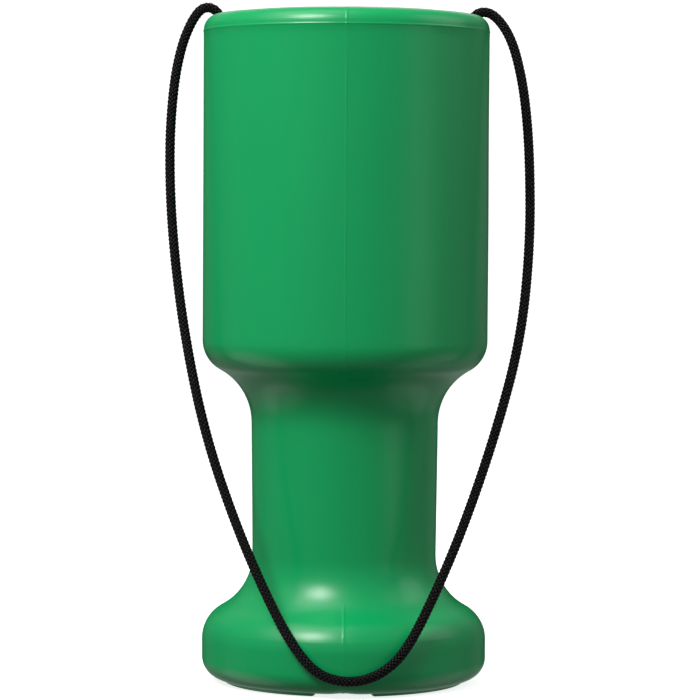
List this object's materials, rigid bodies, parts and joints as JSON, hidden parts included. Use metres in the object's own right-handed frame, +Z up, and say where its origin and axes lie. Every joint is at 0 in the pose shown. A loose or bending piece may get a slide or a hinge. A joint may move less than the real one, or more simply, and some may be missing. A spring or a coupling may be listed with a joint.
{
  "type": "hand-held collecting box",
  "caption": "Hand-held collecting box: a wide cup over a neck to grip and a flared base, with a slotted press-in lid and a braided neck cord.",
  "frame": {"origin": "on the floor, under the middle of the foot ring", "axes": "+Z up through the neck and cup, -Y to the front, X through the two cord holes"},
  "size_m": [0.1356, 0.1093, 0.2494],
  "materials": {
    "body_plastic": "satin blow-moulded polyethylene",
    "lid_plastic": "satin natural polyethylene",
    "cord_braid": "braided polyester"
  },
  "bodies": {
    "box": {"body": "body_plastic", "cord": "cord_braid", "cord_knot_left": "cord_braid", "cord_knot_right": "cord_braid"},
    "lid": {"lid": "lid_plastic"}
  },
  "joints": [
    {"name": "lid_lift", "type": "slide", "parent": "box", "child": "lid", "axis": [0, 0, 1], "range_m": [0, 0.03]}
  ]
}
